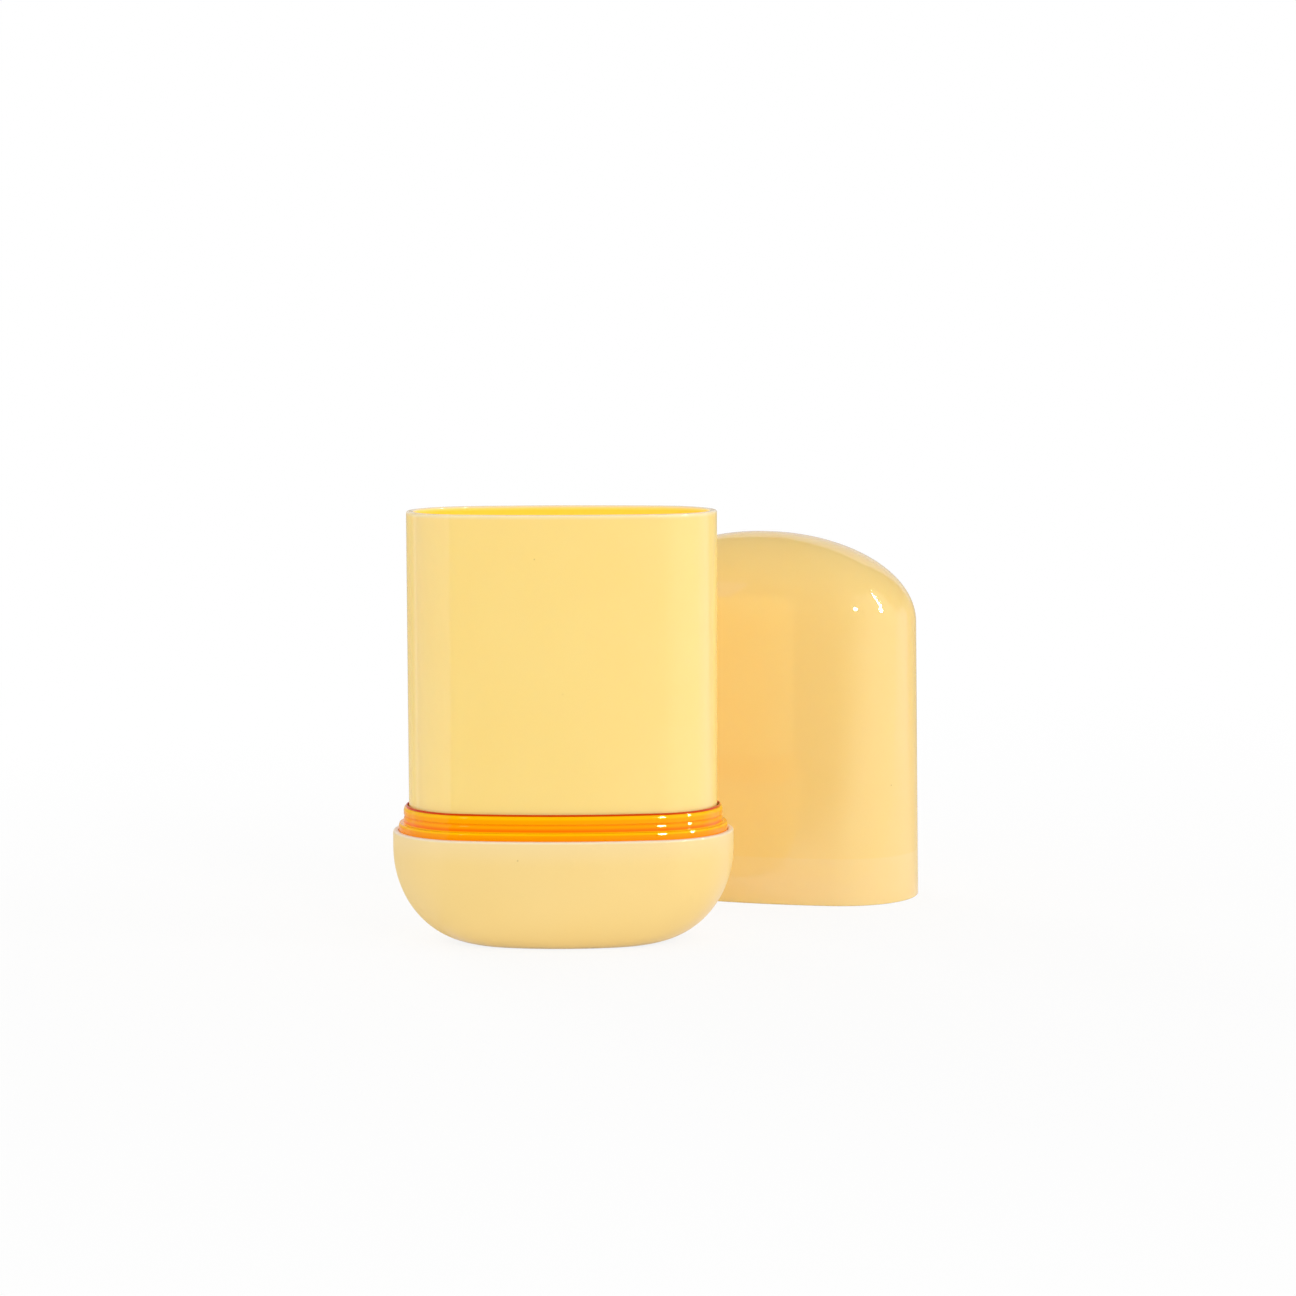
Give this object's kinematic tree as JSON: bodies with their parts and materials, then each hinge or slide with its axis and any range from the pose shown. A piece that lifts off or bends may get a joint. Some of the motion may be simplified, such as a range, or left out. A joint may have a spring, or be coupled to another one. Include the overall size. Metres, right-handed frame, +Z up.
{
  "type": "refillable twist-up stick case",
  "caption": "Oval twist-up stick case, shown empty: glossy open sleeve on a bowl-shaped base with a stepped collar and a finger dial below, and a tall domed cap standing beside it",
  "frame": {"origin": "centre of the base's flat underside, where the case stands on a table", "axes": "+Z up along the case and the dial's axis, +X along the oval's width to the right, -Y the front of the case; the cap stands behind it to the right"},
  "size_m": [0.1012, 0.0914, 0.0798],
  "materials": {
    "base_plastic": "pale butter-yellow moulded plastic with a fine satin finish",
    "collar_plastic": "saturated orange moulded plastic with a high gloss",
    "sleeve_plastic": "glossy yellow moulded plastic, slightly translucent",
    "cap_plastic": "glossy translucent amber moulded plastic",
    "carrier_plastic": "plain yellow moulded plastic",
    "inner_plastic": "plain cream moulded plastic",
    "seal_rubber": "soft black rubber",
    "clip_steel": "plain spring steel"
  },
  "bodies": {
    "case": {"base_shell": "base_plastic", "chassis": "inner_plastic", "collar": "collar_plastic"},
    "dial": {"dial": "collar_plastic", "drag_ring": "seal_rubber", "dial_clip": "clip_steel"},
    "sleeve": {"sleeve": "sleeve_plastic"},
    "spindle": {"spindle": "inner_plastic", "spindle_clip": "clip_steel"},
    "elevator": {"elevator": "carrier_plastic"},
    "cap": {"cap": "cap_plastic"}
  },
  "joints": [
    {"name": "dial_turn", "type": "hinge", "parent": "case", "child": "dial", "pos_m": [0, 0, 0], "axis": [0, 0, 1], "range_deg": [0, 3600]},
    {"name": "sleeve_lift", "type": "slide", "parent": "case", "child": "sleeve", "axis": [0, 0, 1], "range_m": [0, 0.05]},
    {"name": "spindle_turn", "type": "hinge", "parent": "sleeve", "child": "spindle", "pos_m": [0, 0, 0], "axis": [0, 0, 1], "range_deg": [0, 3600]},
    {"name": "elevator_rise", "type": "slide", "parent": "sleeve", "child": "elevator", "axis": [0, 0, 1], "range_m": [0, 0.05]},
    {"name": "cap_lift", "type": "slide", "parent": "case", "child": "cap", "axis": [0, 0, 1], "range_m": [0, 0.08]}
  ],
  "couplings": [
    {"joint": "dial_turn", "follows": "elevator_rise", "rad_per_m": 1256.6},
    {"joint": "spindle_turn", "follows": "elevator_rise", "rad_per_m": 1256.6}
  ]
}
